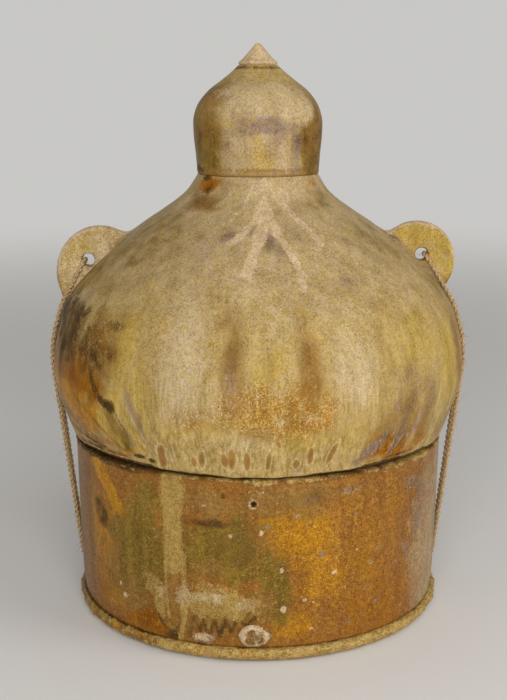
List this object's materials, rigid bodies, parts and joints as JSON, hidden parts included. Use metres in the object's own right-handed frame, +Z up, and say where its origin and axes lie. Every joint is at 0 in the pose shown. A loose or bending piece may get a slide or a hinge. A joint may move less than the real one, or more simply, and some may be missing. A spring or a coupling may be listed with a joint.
{
  "type": "lidded urn",
  "caption": "Wood-fired stoneware urn: a low drum on a slab foot under a tall onion-domed lid with a knob and pierced ears, tied down with jute twine.",
  "frame": {"origin": "centre of the foot's underside, on the surface that the urn stands on", "axes": "+Z up along the urn's axis; -Y towards the front, where the vent and the clay pad are; the ears stand out along -X and +X"},
  "size_m": [0.2492, 0.2436, 0.332],
  "materials": {
    "ash_glaze": "mottled khaki natural-ash glaze, satin, speckled and runny",
    "amber_glaze": "amber and olive wood-fired glaze with drips, semi-gloss",
    "ash_crust": "dry olive ash crust",
    "bare_clay": "bare fired stoneware, matt",
    "jute_twine": "two-ply jute twine with loose fibres"
  },
  "bodies": {
    "base": {"foot_slab": "ash_crust", "base_drum": "amber_glaze", "clay_pad": "bare_clay", "tie_left": "jute_twine", "tie_right": "jute_twine"},
    "lid": {"lid_dome": "ash_glaze", "locating_ring": "bare_clay", "knob": "ash_glaze", "finial": "ash_glaze", "ear_left": "ash_glaze", "ear_right": "ash_glaze", "twine_left": "jute_twine", "twine_right": "jute_twine"}
  },
  "joints": [
    {"name": "lid_lift", "type": "slide", "parent": "base", "child": "lid", "axis": [0, 0, 1], "range_m": [0, 0.15]}
  ]
}
